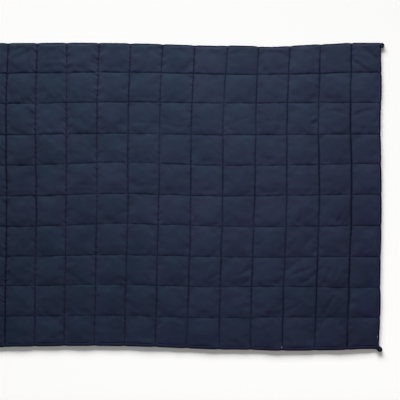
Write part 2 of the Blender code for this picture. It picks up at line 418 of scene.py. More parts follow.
def buildWeaveGroup():
    look = weaveSettings
    tree, given, out = newGroup(
        "plainWeave",
        "ShaderNodeTree",
        {"Position": ("Vector",), "Pitch": ("Float", 0.0005)},
        {"Thread": "Float", "Slub": "Float"},
    )
    position = given["Position"]
    often, far = look["wobble"]
    wobble = addNode(tree, "ShaderNodeTexNoise", {"Vector": position, "Scale": often, "Detail": 1})
    bend = vectorCalc(tree, "SCALE", wobble.outputs["Color"], far)
    bent = splitVector(tree, vectorCalc(tree, "ADD", position, bend))
    u, v = (calc(tree, "DIVIDE", bent[axis], given["Pitch"]) for axis in (0, 1))

    def threadTop(across, along, phase):
        arch = calc(tree, "ABSOLUTE", calc(tree, "SINE", times(tree, across, math.pi)))
        over = calc(tree, "ADD", along, calc(tree, "FLOOR", across))
        lift = calc(tree, "COSINE", times(tree, over, math.pi))
        return times(tree, calc(tree, "POWER", arch, look["round"]), timesPlus(tree, lift, phase, 0.5))

    thread = calc(tree, "MAXIMUM", threadTop(u, v, 0.5), threadTop(v, u, -0.5))
    slub = calc(tree, "ADD", *(streaks(tree, position, stretch) for stretch in look["slubs"]))
    connect(tree, out, {"Thread": thread, "Slub": times(tree, slub, 0.5)})
    return tree


# Four numbers are a range of places or noise, then what it turns into. Left to right and near to far, places
# are in metres.
dyeSettings = {
    "patch": (0.36, 0.64, 0.05, 0.6),  # how warm the cloth looks in patches
    "warmRight": (-0.6, 0.6, -0.15, 0.35),
    "warmLeft": (-0.5, -0.42, 0.15, 0),
    "bands": (8, 0.16, 0.08),  # warmer and cooler bands: how close, where, how strong
    # painted shade tint: warmer beside the column seams, most on the left
    "seamShadeWarm": (-0.5, 0.4, 0.9, 0.1),
    # painted light and shade: cloth facing the far side is cooler, cloth facing the near side warmer and bluer
    "paintedShadeWarm": -0.2,
    "paintedShadeBlue": -0.05,
    "blue": (-0.6, 0.6, 1.065, 0.96),
    "cloud": (0.3, 0.7, 0.81, 1.19),  # light and dark patches
    "paintedLight": (0.36, 0.05, 0.958),  # painted light: lighter towards the far and near ends
}


def buildDyeGroup():
    look = dyeSettings
    sockets = {"Position": ("Vector",), "Beside": ("Vector",), "Cool": ("Color",), "Warm": ("Color",)}
    sockets["Patch"] = ("Float", 7.0)
    tree, given, out = newGroup("unevenDye", "ShaderNodeTree", sockets, {"Colour": "Color"})
    position = given["Position"]
    sideways, farther, _ = splitVector(tree, position)
    gathered, _, facing = splitVector(tree, given["Beside"])
    patch = remap(tree, noiseAt(tree, position, given["Patch"], 5, 0.6), *look["patch"])
    for side in ("warmRight", "warmLeft"):
        patch = calc(tree, "ADD", patch, remap(tree, sideways, *look[side]))
    close, start, strong = look["bands"]
    patch = timesPlus(tree, calc(tree, "COSINE", timesPlus(tree, farther, close, start)), strong, patch)
    # Painted shade tint: the cloth beside the column seams is warmer, more so on the left.
    gathered = times(tree, gathered, remap(tree, sideways, *look["seamShadeWarm"]))
    # Painted light and shade tint: facing is how much the cloth faces the far side.
    patch = timesPlus(tree, facing, look["paintedShadeWarm"], calc(tree, "ADD", gathered, patch))
    sockets = {0: patch, 6: given["Cool"], 7: given["Warm"]}
    mixed = addNode(tree, "ShaderNodeMix", sockets, data_type="RGBA").outputs[2]
    # Painted light: the cloth is made lighter towards the far and near ends of the blanket.
    bow, lean, middle = look["paintedLight"]
    paintedLight = timesPlus(tree, farther, timesPlus(tree, farther, bow, lean), middle)
    cloud = times(tree, remap(tree, noiseAt(tree, position, 6, 6, 0.68), *look["cloud"]), paintedLight)
    blue = timesPlus(tree, facing, look["paintedShadeBlue"], remap(tree, farther, *look["blue"]))
    uneven = joinVector(tree, cloud, cloud, times(tree, blue, cloud))
    connect(tree, out, {"Colour": vectorCalc(tree, "MULTIPLY", mixed, uneven)})
    return tree


besideReach = 10 * mm  # how far the beside attribute reaches from a sewn line
puckerSettings = {
    "slant": 0.8,
    "columnFolds": ((16, 66, 1), 1.4),  # how the noise is stretched, and its strength
    "rowFolds": ((90, 22, 1), 0.8),
    "openFolds": ((13, 62, 1), 0.22),
    "patches": (0.35, 0.65, 0.5, 1.5),
    "leftwards": (-0.5, 0.5, 3.6, 1.4),
}


def buildPuckerGroup():
    look = puckerSettings
    sockets = {"Position": ("Vector",), "Beside": ("Vector",)}
    tree, given, out = newGroup("seamPuckers", "ShaderNodeTree", sockets, {"Height": "Float"})
    position = given["Position"]
    beside = splitVector(tree, given["Beside"])
    away = times(tree, calc(tree, "LOGARITHM", beside[0], math.e), besideReach)
    slanted = vectorCalc(tree, "ADD", position, joinVector(tree, y=times(tree, away, look["slant"])))

    def folds(name, place, strength, height):
        stretch, share = look[name]
        fold = calc(tree, "SUBTRACT", streaks(tree, place, stretch), 0.5)
        return timesPlus(tree, fold, times(tree, strength, share), height)

    height = folds("columnFolds", slanted, beside[0], 0.0)
    height = folds("rowFolds", position, beside[1], height)
    strength = remap(tree, noiseAt(tree, position, 7, 1), *look["patches"])
    strength = times(tree, strength, remap(tree, splitVector(tree, position)[0], *look["leftwards"]))
    connect(tree, out, {"Height": folds("openFolds", position, 1.0, times(tree, height, strength))})
    return tree


puckerGroup, weaveGroup, dyeGroup = buildPuckerGroup(), buildWeaveGroup(), buildDyeGroup()

# seamShade is how far the sewn attribute darkens the cloth: painted shade along the seams and the binding's
# fold
clothSettings = {
    "quilt": {
        "cool": (0.0100, 0.0163, 0.0290, 1),
        "warm": (0.0137, 0.0148, 0.0299, 1),
        "pitch": 0.00055,
        "seamShade": 0.8,
        "pucker": 0.0016,
        "roughness": 0.86,
        "specular": 0.1,
        "sheen": 0.03,
    },
    "binding": {
        "cool": (0.0142, 0.0229, 0.0403, 1),
        "warm": (0.0190, 0.0206, 0.0412, 1),
        "pitch": 0.00048,
        "seamShade": 0.93,
        "pucker": 0.0008,
        "roughness": 0.84,
        "specular": 0.03,
        "sheen": 0.01,
    },
    "loop": {
        "cool": (0.0026, 0.0038, 0.0070, 1),
        "warm": (0.0030, 0.0036, 0.0070, 1),
        "pitch": 0.00048,
        "seamShade": 0.3,
        "pucker": 0.0004,
        "roughness": 0.82,
        "specular": 0.1,
        "sheen": 0.02,
    },
}
clothFinish = {
    "seamColours": (1.12, 1.02, 0.92),  # red goes first in a seam's painted shade
    "seamLeast": 0.02,
    "weaveHollowShade": (0.5, 0.72),
    "slubLight": (0.3, 0.7, 0.9, 1.1),
    "crumple": (160, 1.2),
    "weaveBump": (0.7, 0.00016),
    "shineTint": (0.36, 0.5, 1, 1),
    "sheenTint": (0.5, 0.68, 1, 1),
}


def newMaterial(name):
    material = bpy.data.materials.new(name)
    material.use_nodes = True
    tree = material.node_tree
    return material, tree, addNode(tree, "ShaderNodeTexCoord").outputs["Object"]


def clothMaterial(name, look):
    material, tree, place = newMaterial(name)
    beside = addNode(tree, "ShaderNodeAttribute", attribute_name="beside").outputs["Vector"]
    # sewn is painted shade along the seams and the binding's fold and stitching; below nothing it is a painted
    # highlight on the binding
    sewn = addNode(tree, "ShaderNodeAttribute", attribute_name="sewn").outputs["Fac"]
    seam = {"Position": place, "Beside": beside}
    weave = addNode(tree, "ShaderNodeGroup", {"Position": place, "Pitch": look["pitch"]}, node_tree=weaveGroup)
    tints = {"Cool": look["cool"], "Warm": look["warm"]}
    dye = addNode(tree, "ShaderNodeGroup", {**seam, **tints}, node_tree=dyeGroup)
    puckers = addNode(tree, "ShaderNodeGroup", seam, node_tree=puckerGroup)
    thread, slub = weave.outputs["Thread"], weave.outputs["Slub"]
    # The painted shade takes more red than blue from the cloth and leaves at least seamLeast of it.
    shades = (timesPlus(tree, sewn, -look["seamShade"] * part, 1) for part in clothFinish["seamColours"])
    pressed = joinVector(tree, *(calc(tree, "MAXIMUM", shade, clothFinish["seamLeast"]) for shade in shades))
    # Painted shade in the weave: the hollows between threads are darker, the thread tops lighter.
    lightness = timesPlus(tree, thread, *clothFinish["weaveHollowShade"])
    lightness = times(tree, lightness, remap(tree, slub, *clothFinish["slubLight"]))
    dyed = vectorCalc(tree, "MULTIPLY", dye, pressed)
    scale, share = clothFinish["crumple"]
    height = timesPlus(tree, noiseAt(tree, place, scale, 3), share, thread)
    gathered = bump(tree, 1, look["pucker"], puckers)
    finish = {
        "Base Color": vectorCalc(tree, "SCALE", dyed, lightness),
        "Roughness": timesPlus(tree, thread, -0.1, look["roughness"] + 0.05),
        "Normal": bump(tree, *clothFinish["weaveBump"], height, {"Normal": gathered}),
        "Specular IOR Level": look["specular"],
        "Specular Tint": clothFinish["shineTint"],
        "Sheen Weight": look["sheen"],
        "Sheen Tint": clothFinish["sheenTint"],
        "Sheen Roughness": 0.5,
    }
    connect(tree, tree.nodes["Principled BSDF"], finish)
    return material


cloths = {name: clothMaterial(name + "Cloth", look) for name, look in clothSettings.items()}


def threadMaterial(name, base, tip):
    material, tree, place = newMaterial(name)
    fibre = noiseAt(tree, place, 2500, 2)
    finish = {
        "Base Color": addNode(tree, "ShaderNodeMix", {0: fibre, 6: base, 7: tip}, data_type="RGBA").outputs[2],
        "Roughness": remap(tree, fibre, 0, 1, 0.5, 0.7),
        "Normal": bump(tree, 0.5, 0.0001, fibre),
        "Specular IOR Level": 0.1,
        "Specular Tint": clothFinish["shineTint"],
    }
    connect(tree, tree.nodes["Principled BSDF"], finish)
    return material


sewingThread = threadMaterial("sewingThread", (0.006, 0.009, 0.020, 1), (0.011, 0.015, 0.032, 1))
looseThread = threadMaterial("looseThread", (0.26, 0.28, 0.31, 1), (0.42, 0.44, 0.47, 1))


def pillow(f):
    return 1 - np.abs(2 * f - 1) ** quiltSettings["pillowPower"]


def sampleMoves(moves, s, t):
    cells = quiltSettings["simCells"]
    means = moves[:-1, :-1].reshape(rows, cells, columns, cells, 3).mean((0, 2))
    wide = np.pad(np.tile(means, (rows, columns, 1)), ((0, 1), (0, 1), (0, 0)), mode="wrap")
    return blendGrid(moves - wide, s, t, cells)


# Creases that stand out, by width and height in mm, each as the x and y of the points it runs through.
# A height below nothing is a trough.
creases = {
    (5, -2.3): ((642, 282, 673, 301),),
    (5, -1.9): ((799, 313, 826, 325, 857, 337, 885, 341, 904, 325),),
    (5, -1.7): ((740, -106, 763, -74, 791, -35), (697, -341, 709, -305, 724, -278)),
    (5, -1.6): ((677, 321, 697, 333, 736, 337, 771, 329, 795, 309), (-536, 278, -525, 247)),
    (5, -1.5): ((591, -106, 611, -74), (716, -458, 740, -427, 767, -399)),
    (5, -1.4): ((309, 274, 333, 286, 364, 298, 391, 305, 419, 325), (638, 313, 669, 317),
        (650, 262, 673, 278), (560, -200, 579, -176, 595, -149), (728, -333, 744, -298, 759, -270)),
    (5, -1.3): ((-509, 388, -513, 419), (-486, 368, -505, 411), (-458, 317, -435, 333),
        (-458, 309, -435, 298), (-435, 298, -415, 313), (-572, -94, -552, -63), (673, -294, 701, -262),
        (599, -458, 622, -423)),
    (5, -1.2): ((149, 497, 172, 529), (634, 384, 669, 399), (55, 317, 78, 301), (427, 286, 450, 290),
        (-435, 333, -415, 321), (767, -110, 795, -82), (544, -294, 571, -270, 599, -247),
        (752, -337, 775, -298), (744, -454, 775, -419)),
    (5, -1.1): ((-474, 517, -450, 548), (-74, 286, -20, 290, 43, 286), (55, 286, 82, 282, 117, 270, 168, 274),
        (266, -102, 286, -117), (294, -129, 313, -106), (-486, -290, -462, -270, -442, -262),
        (35, -254, 70, -239), (799, -392, 822, -364), (19, -478, 39, -501), (39, -509, 59, -485)),
    (5, -1.0): ((164, 493, 180, 517), (153, 552, 176, 529), (427, 419, 450, 427), (427, 333, 454, 321),
        (552, 329, 575, 333), (-192, 254, -161, 270), (-521, 266, -509, 247), (-462, 168, -435, 168)),
    (5, -0.9): ((-106, 427, -78, 415), (556, 395, 583, 395), (141, 298, 168, 301), (305, 317, 333, 305),
        (270, 321, 294, 309), (-114, 286, -78, 278), (-294, 27, -200, 27), (-67, 31, -24, 43, 12, 47, 43, 35),
        (55, 16, 98, 23, 157, 16), (626, -74, 665, -43), (712, -102, 740, -70), (270, -133, 290, -117),
        (-486, -305, -442, -286), (-196, -282, -168, -274), (51, -278, 78, -258), (-110, -243, -82, -258),
        (431, -384, 454, -364)),
    (5, -0.8): ((-231, 529, -200, 521), (-74, 388, 43, 388), (525, 462, 548, 454), (767, 427, 795, 431),
        (-302, 43, -247, 47, -200, 39), (-180, 39, -98, 43), (-180, 27, -82, 23), (51, 31, 153, 35),
        (172, -74, 200, -86), (431, -196, 462, -164)),
    (5, -0.7): ((317, 560, 411, 564), (685, 384, 775, 388), (802, 384, 896, 392),
        (454, 290, 485, 298, 532, 298), (-419, 266, -325, 266), (176, 27, 290, 27), (485, -200, 525, -164),
        (450, -337, 525, -341)),
    (5, -0.6): ((-302, 509, -200, 509), (-184, 509, -82, 509), (-302, 388, -208, 388), (63, 141, 153, 145),
        (188, 141, 282, 141), (442, 145, 536, 145), (427, 16, 536, 20), (-172, -204, -94, -200),
        (419, -458, 532, -454)),
    (5, -0.5): ((-536, 35, -446, 39), (-74, -290, 19, -286), (188, -454, 286, -454)),
    (5, 1.0): ((642, 298, 669, 309),),
    (6, -2.2): ((685, -470, 701, -446, 720, -415, 744, -376),),
    (6, -2.0): ((607, -207, 626, -184, 650, -157), (564, -313, 587, -301, 618, -290, 662, -274),
        (603, -341, 642, -321, 669, -294), (673, -525, 689, -493, 709, -474)),
    (6, -1.9): ((802, 529, 822, 525, 846, 501),),
    (6, -1.8): ((646, -227, 669, -200),),
    (6, -1.6): ((239, -333, 262, -313, 290, -301), (356, -313, 384, -294, 411, -286)),
    (6, -1.5): ((364, -345, 407, -325),),
    (6, -1.4): ((-482, -219, -466, -192, -442, -164),),
    (6, -1.3): ((544, -454, 575, -435, 607, -415),),
    (6, -1.2): ((-270, 313, -247, 290, -231, 266),),
    (6, -1.1): ((-294, 188, -266, 157), (-360, -325, -321, -313)),
    (6, -1.0): ((-521, 572, -489, 587), (450, 560, 501, 568, 544, 556), (-223, 337, -200, 321),
        (317, -403, 356, -392, 395, -384)),
    (6, -0.9): ((-419, 544, -388, 560), (-380, 536, -321, 540), (-411, 505, -341, 517), (802, 266, 896, 270),
        (-352, 356, -317, 352), (-427, -274, -380, -254), (-349, -286, -317, -290), (427, -446, 466, -431),
        (368, -556, 403, -540)),
    (6, -0.8): ((-544, 529, -509, 552), (802, -204, 838, -164), (818, -341, 861, -309),
        (-302, -309, -262, -321), (712, -529, 740, -493), (740, -525, 779, -485), (442, -525, 489, -505)),
    (6, -0.7): ((82, 579, 149, 568), (-188, 474, -161, 462), (-266, 204, -231, 188), (-176, 106, -145, 82),
        (235, -137, 278, -145), (806, -427, 849, -392), (301, -431, 333, -411), (544, -536, 587, -509),
        (791, -544, 838, -501)),
    (6, -0.6): ((611, -529, 642, -497), (-317, -493, -286, -478)),
    (6, 0.6): ((802, 329, 830, 341, 861, 348),),
    (6, 0.7): ((802, 564, 834, 560, 857, 544, 885, 525), (-309, 427, -270, 411), (-192, 192, -172, 176)),
    (6, 0.8): ((297, -180, 325, -164), (419, -348, 450, -325)),
    (6, 0.9): ((305, -102, 333, -74),),
    (6, 1.0): ((325, -337, 376, -313, 407, -301), (-317, -286, -294, -270, -262, -270)),
    (6, 1.2): ((806, 544, 830, 536, 853, 517, 877, 501), (337, -431, 376, -419, 407, -403)),
    (7, -2.2): ((857, 579, 885, 552, 908, 529),),
    (7, 0.8): ((466, -454, 509, -399),),
    (7, 1.0): ((-360, 415, -325, 399),),
    (7, 1.3): ((-407, 376, -380, 411, -352, 376),),
    (8, -1.5): ((-505, 544, -474, 560, -442, 583),),
}


def creaseLift(x, y):
    lift = np.zeros_like(x)
    meanX, meanY = x.mean(0), y.mean(1)
    for (width, height), line in ((size, line) for size, lines in creases.items() for line in lines):
        points = np.array(line).reshape(-1, 2) * mm
        low, high = points.min(0) - 0.04, points.max(0) + 0.04
        across = slice(*np.searchsorted(meanX, (low[0], high[0])))
        down = slice(*np.searchsorted(-meanY, (-high[1], -low[1])))
        nearX, nearY = x[down, across], y[down, across]
        legs = np.diff(points, axis=0)
        lengths = np.linalg.norm(legs, axis=1)
        best = np.ones(nearX.shape)
        along = np.zeros(nearX.shape)
        run = 0
        for start, leg, size in zip(points, legs, lengths):
            part = np.clip(((nearX - start[0]) * leg[0] + (nearY - start[1]) * leg[1]) / size**2, 0, 1)
            away = np.hypot(nearX - start[0] - part * leg[0], nearY - start[1] - part * leg[1])
            along = np.where(away < best, (run + part * size) / lengths.sum(), along)
            best = np.minimum(best, away)
            run += size
        fade = np.sin(np.pi * np.clip(along, 0.04, 0.96)) ** 0.6
        ridge = height * quiltSettings["creaseDepth"] * mm * fade
        lift[down, across] += ridge * np.exp(-((best / (width * mm)) ** 2))
    return lift


def seamLine(place, gap, width, strengths):
    strength = np.array(strengths)[np.round(place).astype(int)]
    reach = width * mm * np.clip(strength, 0.6, 1.5) ** 0.7
    return strength * np.exp(-((gap / reach) ** 2))


def rimRise(fromRim):
    rise, fade = (reach * mm for reach in quiltSettings["rimReach"])
    return (1 - np.exp(-fromRim / rise)) * np.exp(-fromRim / fade)


def besideSeam(away):
    return np.exp(-away / besideReach)


def noiseField(x, y, level):
    places = zip(x.ravel(), y.ravel())
    return np.array([noise.noise(Vector((*place, level))) for place in places]).reshape(x.shape)


def seamGathers(x, y, away):
    look = gatherSettings
    fine, broad = look["scale"]
    folds = noiseField(x * broad, (y - look["slant"] * away) * fine, 2.2)
    often, spread = look["patches"]
    strength = np.clip(1 + spread * noiseField(x * often, y * often, 8.4), 0.2, 2)
    strength *= np.interp(x, (-0.5, 0.5), look["strength"]) * np.interp(y, (-0.3, 0.4), look["farther"])
    shape = np.exp(-away / (look["reach"] * mm)) * (1 - np.exp(-((away / (look["foot"] * mm)) ** 2)))
    return look["height"] * mm * folds * strength * shape


def buildQuilt():
    q = quiltSettings
    across, down = s[None], t[:, None]
    column, f = pocketOf(across, columns)
    row, g = pocketOf(down, rows)
    uneven = np.sin(2.1 * column + 1.3 * row) * np.cos(1.7 * row - 0.6 * column)
    crown = (q["crown"] + q["crownSpread"] * uneven) * mm
    shape = pillow(f) * pillow(g)
    gapX, gapY = (fromLine(place) * size for place, size in zip((across, down), q["seamGap"]))
    patchy = 1 + q["strengthSpread"] * 2 * noiseField(*np.meshgrid(s * 0.8, t * 0.8), 5.2)
    columnPull = seamLine(across, gapX, q["columnSeam"], q["columnStrength"]) * patchy
    rowPull = seamLine(down, gapY, q["rowSeam"], q["rowStrength"]) * patchy
    groove = np.minimum(np.maximum(columnPull, rowPull), q["deepest"])
    # The mask is painted shade: the cloth is darker along the seams, where the valleys between the pockets lie
    # in shade.
    paintedShading = np.clip(np.maximum(columnPull, q["rowShade"] * rowPull), 0, q["darkest"])
    tilt = 1 + q["tilt"] * np.cos(2.9 * column + 4.1 * row) * (1 - 2 * g)
    z = q["seamTop"] * mm + (crown - q["seamTop"] * mm) * shape * tilt
    rims, (wide, tall) = q["rimRise"], q["rimGap"]
    sideRise = rims["left"] * rimRise(across * wide) + rims["right"] * rimRise((columns - across) * wide)
    endRise = rims["far"] * rimRise(down * tall) + rims["near"] * rimRise((rows - down) * tall)
    z += (sideRise * (0.3 + 0.7 * pillow(g)) + endRise * (0.3 + 0.7 * pillow(f))) * mm
    inside = 1 - np.exp(-((np.minimum(gapX, gapY) / (q["wrinkleReach"] * mm)) ** 2))
    keep = q["wrinkle"] + (q["wrinkleInside"] - q["wrinkle"]) * inside
    detail = sampleMoves(move, s, t) * keep[..., None]
    z = np.maximum(z + detail[..., 2], (q["seamTop"] - 0.5) * mm) - q["grooveDepth"] * mm * groove
    x, y = planX + detail[..., 0], planY + detail[..., 1]
    inward = np.minimum(np.minimum(across, columns - across), np.minimum(down, rows - down)) * q["roughGap"]
    loose = np.clip(inward / (q["wanderFade"] * mm), 0, 1) * q["wander"] * mm
    fine = q["wanderScale"]
    strays = [noiseField(x * fine, y * fine, level) * loose * 2 for level in (3.7, 9.1)]
    x, y = x + strays[0], y + strays[1]
    z += seamGathers(x, y, gapX) + creaseLift(x, y) * np.clip(shape * 5, 0, 1)
    z = np.maximum(z, (q["seamTop"] - q["grooveDepth"]) * mm)
    slope = -np.gradient(z, axis=0) / np.gradient(y, axis=0)
    facing = np.clip(slope / q["steepest"], -1, 1)  # to the far side
    # The third part of beside carries which way the cloth faces, for a painted light and shade tint.
    beside = np.stack(np.broadcast_arrays(besideSeam(gapX), besideSeam(gapY), facing), -1)
    return x, y, z, paintedShading, beside


upperX, upperY, upperZ, paintedSeamShade, besideSeams = buildQuilt()
report("upper cloth shaped")


def addMargin(x, y, z, level):
    grid = np.pad(np.stack([x, y, z], -1), ((1, 1), (1, 1), (0, 0)), mode="edge")
    for rim, axis, way in ((grid[:, 0], 0, -1), (grid[:, -1], 0, 1), (grid[0], 1, 1), (grid[-1], 1, -1)):
        rim[:, axis] += way * quiltSettings["margin"] * mm
    for edge in (grid[:2], grid[-2:], grid[:, :2], grid[:, -2:]):
        edge[..., 2] = level * mm
    return grid


def rimPath(down, across, first):
    grid = first + np.arange(down * across).reshape(down, across)
    return [grid[0], grid[:, -1], grid[-1, ::-1], grid[::-1, 0]]


def makePiece(name, points, faces, material, smooth=True):
    mesh = bpy.data.meshes.new(name)
    mesh.from_pydata(np.asarray(points).tolist(), [], faces)
    mesh.materials.append(material)
    if smooth:
        mesh.shade_smooth()
    mesh.update()
    return addObject(name, mesh)


def addAttribute(piece, name, values):
    kind, slot = ("FLOAT_VECTOR", "vector") if values.ndim == 2 else ("FLOAT", "value")
    piece.data.attributes.new(name, kind, "POINT").data.foreach_set(slot, values.ravel())


def tidyNormals(piece):
    edit = bmesh.new()
    edit.from_mesh(piece.data)
    bmesh.ops.recalc_face_normals(edit, faces=edit.faces)
    edit.to_mesh(piece.data)
    edit.free()


def buildQuiltPiece():
    q = quiltSettings
    upper = addMargin(upperX, upperY, upperZ, q["seamTop"])
    su, tu = stations(columns, q["underSteps"]), stations(rows, q["underSteps"])
    gaps = (fromLine(place) * q["roughGap"] for place in (su[None], tu[:, None]))
    lift = np.maximum(*(np.exp(-((gap / (q["underReach"] * mm)) ** 2)) for gap in gaps))
    under = addMargin(*sheetPlan(su, tu), q["seamBottom"] * mm * lift, q["seamBottom"])
    first = upper[..., 0].size
    faces = gridFaces(*upper.shape[:2], 0, True) + gridFaces(*under.shape[:2], first, False)
    coarse = len(halfSteps(q["underSteps"]))
    for topRim, lowRim in zip(rimPath(*upper.shape[:2], 0), rimPath(*under.shape[:2], first)):
        count = (len(lowRim) - 3) // coarse
        topAt, lowAt = (np.r_[-1, stations(count, q[steps]), count + 1] for steps in ("steps", "underSteps"))
        for k in range(len(lowRim) - 1):
            between = (topAt >= lowAt[k] - 1e-6) & (topAt <= lowAt[k + 1] + 1e-6)
            faces.append([*topRim[between].tolist(), int(lowRim[k + 1]), int(lowRim[k])])
    points = liftEdges(np.concatenate([upper.reshape(-1, 3), under.reshape(-1, 3)]) + shift)
    piece = makePiece("quilt", points, faces, cloths["quilt"])
    # sewn holds the painted seam shade of the upper cloth.
    sewn, beside = np.zeros(len(points)), np.zeros((len(points), 3))
    sewn[:first] = np.pad(paintedSeamShade, 1, mode="edge").ravel()
    beside[:first] = np.pad(besideSeams, ((1, 1), (1, 1), (0, 0)), mode="edge").reshape(-1, 3)
    addAttribute(piece, "sewn", sewn)
    addAttribute(piece, "beside", beside)
    tidyNormals(piece)
    return piece


liftSettings = {"height": 2.2, "reach": 42, "cornerFade": 70, "uneven": 0.25}  # mm, how the edges stand off


def smoothStep(value):
    value = np.clip(value, 0, 1)
    return value * value * (3 - 2 * value)


def edgeLift(x, y):
    look = liftSettings
    x, y = x - shift[0], y - shift[1]
    fromSide = np.minimum(x - columnLineX(0, y), columnLineX(columns, y) - x)
    fromEnd = np.minimum(rowLineY(0, x) - y, y - rowLineY(rows, x))
    depth = np.maximum(np.minimum(fromSide, fromEnd), 0)
    fromCorner = np.hypot(np.maximum(fromSide, 0), np.maximum(fromEnd, 0))
    swell = np.sin(x * 37 + 1.3) * np.cos(x * 13) + np.sin(y * 29) * np.cos(y * 17 + 0.6)
    rise = (1 - smoothStep(depth / (look["reach"] * mm))) * (1 + look["uneven"] * swell)
    return look["height"] * mm * rise * smoothStep(fromCorner / (look["cornerFade"] * mm))


def liftEdges(points):
    points[..., 2] += edgeLift(points[..., 0], points[..., 1])
    return points


planLow = np.array([planX.min() - quiltSettings["margin"] * mm, planY.min() - quiltSettings["margin"] * mm, 0])
shift = np.array(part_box("quilted_body")[0]) - planLow
quilt = buildQuiltPiece()
report(f"quilt {len(quilt.data.vertices)} points")

bindingSettings = {
    "outline": (  # u inwards from the outer face and z, in mm, from the inner lip round the fold
        (10, 4.9), (9.2, 5.25), (8.4, 5.3), (7.8, 5.05), (7.1, 5.25), (6.5, 5.22), (5.6, 5.15), (4, 4.75),
        (2.5, 4.2), (1.3, 3.6), (0.5, 3.1), (0.1, 2.6), (0, 2.2), (0.1, 1.7), (0.5, 1), (1.3, 0.4),
        (2.5, 0.05), (5, 0), (10, 0),
    ),
    "slot": ((10, 1.6), (1.7, 1.6), (1.7, 4), (10, 4)),
    "perPocket": 22,
    "cornerRound": 5.5,
    "endDepths": (5.5, 4.4, 3.4, 2.5, 1.8, 1.2, 0.7, 0.3, 0),
    "slotEnds": 1.2,
    "endGap": 0.3,  # mm of air where two strips meet
    "middle": 2.2,  # mm, the height that the ends close to
    "pucker": 0.45,
    "puckerSize": 95,
    "stitchLine": 7.8,
    "stitchWidth": 0.9,
    "pull": {"far": 0.5, "near": 0.6, "left": 0.6, "right": 0.9},  # where a sewn line runs into the binding, which dips there and gets painted shade
    "pullReach": 0.022,  # of a pocket
    "inset": {"far": 1.5, "near": -1.5, "left": 0, "right": 0.9},  # mm, how much the fold is rolled in
    # paintedLight is a painted highlight on the band inside the dark fold, most on the far side
    "paintedLight": {"far": 0.9, "near": 0, "left": 0.2, "right": 0.35},
    # stitchShade is painted shade in the groove along the binding's stitching, most on the near side
    "stitchShade": {"far": 0.0, "near": 0.7, "left": 0.3, "right": 0.1},
    "foldShade": {  # mm inwards of painted shade on the outer fold, and over which it then fades
        "far": (6.5, 0.6),
        "near": (2.6, 1.6),
        "left": (2.2, 0.9),
        "right": (6.6, 1.2),
    },
}
outward = {
    "far": np.array([0, 1.0]),
    "near": np.array([0, -1.0]),
    "left": np.array([-1.0, 0]),
    "right": np.array([1.0, 0]),
}


def edgeLine(side):
    per = bindingSettings["perPocket"]
    if side in ("far", "near"):
        places = evenStations(columns, per), np.array([0.0 if side == "far" else rows])
    else:
        places = np.array([0.0 if side == "left" else columns]), evenStations(rows, per)
    line = np.stack(sheetPlan(*places), -1).reshape(-1, 2)
    return line + outward[side] * band + shift[:2], -outward[side]


# Each ring is where it starts, the way inwards, how flat it is pressed, and whether it has the quilt's slot.
def stripRings(side):
    look = bindingSettings
    line, inward = edgeLine(side)
    rings = [(point, inward, 1, True) for point in line]
    if side in ("left", "right"):
        for k, way in ((0, -1), (-1, 1)):
            rings[k] = (line[k] + np.array([0, way * look["endGap"] * mm]), *rings[k][1:])
        return rings
    ends = []
    for last, way in ((line[0], -1), (line[-1], 1)):
        end = []
        for depth in look["endDepths"]:
            radius = look["cornerRound"]
            cut = radius - math.sqrt(max(radius**2 - (radius - min(depth, radius)) ** 2, 0))
            slotted = depth >= look["slotEnds"]
            press = 1 if slotted else 0.55 + 0.45 * math.sqrt(depth / look["slotEnds"])
            outer = last + np.array([way * (band - depth * mm), 0]) + inward * cut * mm
            end.append((outer, inward * (1 - cut / layout["band"]), press, slotted))
        ends.append(end)
    return ends[0][::-1] + rings + ends[1]


def stripPulls(side):
    look = bindingSettings
    level = side in ("far", "near")
    place = evenStations(columns if level else rows, look["perPocket"])
    pulls = look["pull"][side] * np.exp(-((fromLine(place) / look["pullReach"]) ** 2))
    if level:
        pulls[[0, -1]] = 0
        pulls = np.pad(pulls, len(look["endDepths"]))
    return pulls


